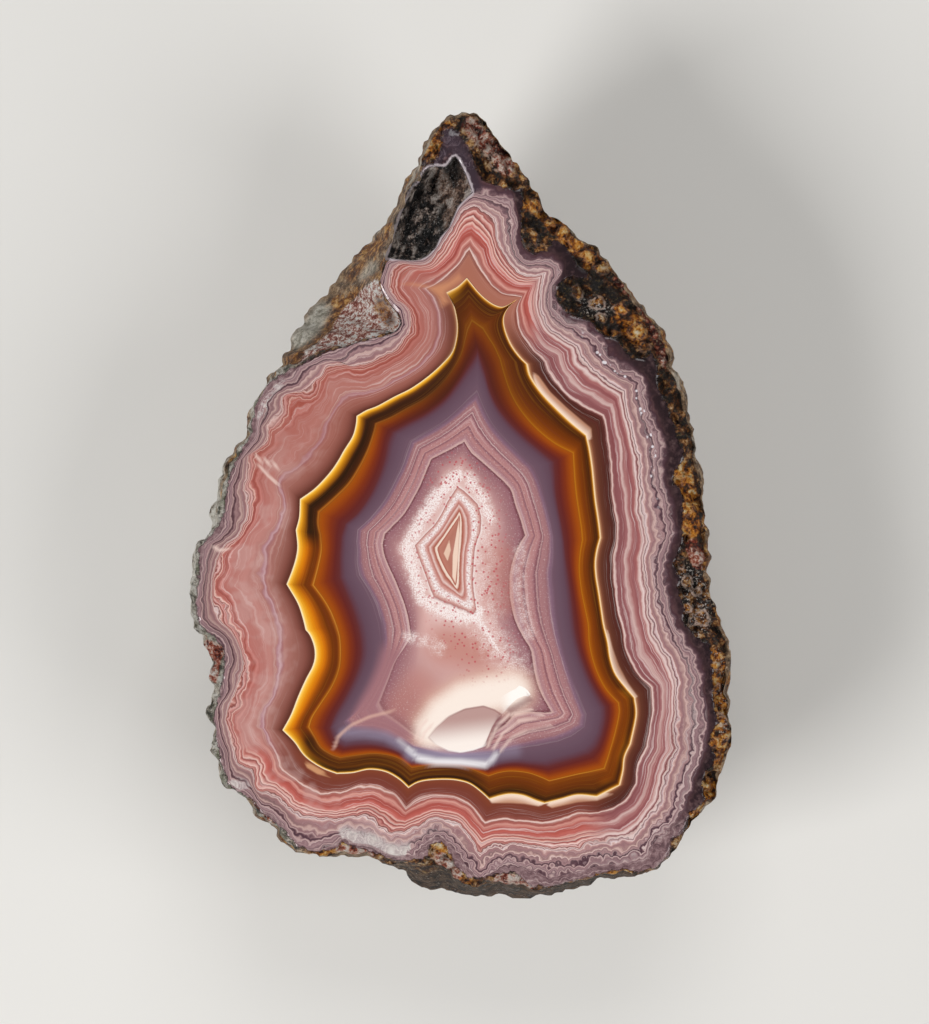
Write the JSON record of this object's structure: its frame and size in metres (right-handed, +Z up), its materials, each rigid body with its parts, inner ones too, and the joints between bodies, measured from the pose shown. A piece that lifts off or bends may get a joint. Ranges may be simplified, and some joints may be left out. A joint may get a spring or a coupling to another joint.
{
  "type": "agate nodule half",
  "caption": "Half of a pear-shaped banded agate nodule, sawn and polished flat on top, with a rough rounded rind below.",
  "frame": {"origin": "centre of the bounding box, at the level of the flat spot that the stone lies on", "axes": "+Z up, square to the polished face; +Y along the length, towards the pointed end; +X to the right as the polished face is looked down on"},
  "size_m": [0.0652, 0.0952, 0.03],
  "materials": {
    "agate": "polished on the cut face, rough and weathered on the rind"
  },
  "bodies": {
    "root": {"agate": "agate"}
  },
  "joints": []
}
